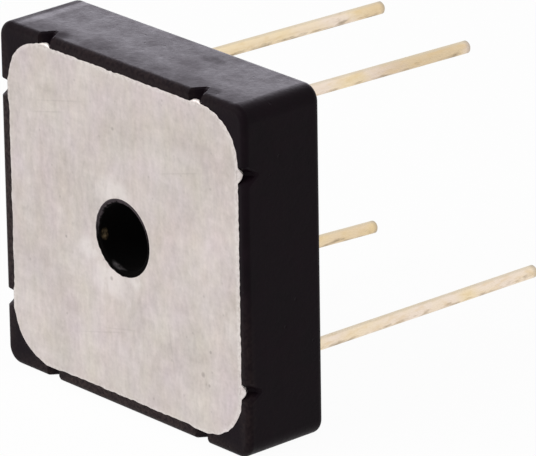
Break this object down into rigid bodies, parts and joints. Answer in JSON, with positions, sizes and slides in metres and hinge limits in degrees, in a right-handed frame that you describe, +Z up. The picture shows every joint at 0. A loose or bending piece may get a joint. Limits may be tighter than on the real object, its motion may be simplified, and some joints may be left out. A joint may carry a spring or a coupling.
{
  "type": "bridge rectifier",
  "caption": "Square moulded bridge rectifier: black epoxy case on a flat aluminium base, with a central mounting hole and wire leads, that turns alternating current into direct current.",
  "frame": {"origin": "middle of the mounting hole, on the outer face of the base plate", "axes": "+Z up with the part standing on one edge, +Y from the base towards the leads, +X to the right seen from the base"},
  "size_m": [0.0286, 0.0344, 0.0286],
  "materials": {
    "case": "matte",
    "plate": "satin",
    "lead": "satin",
    "copper": "satin",
    "chip": "polished"
  },
  "bodies": {
    "root": {"moulded_case": "case", "base_plate": "plate", "positive_frame": "copper", "negative_frame": "copper", "ac_clip_1": "copper", "ac_clip_2": "copper", "diode_chip_1": "chip", "diode_chip_2": "chip", "diode_chip_3": "chip", "diode_chip_4": "chip", "lead_ac_1": "lead", "lead_positive": "lead", "lead_negative": "lead", "lead_ac_2": "lead"}
  },
  "joints": []
}
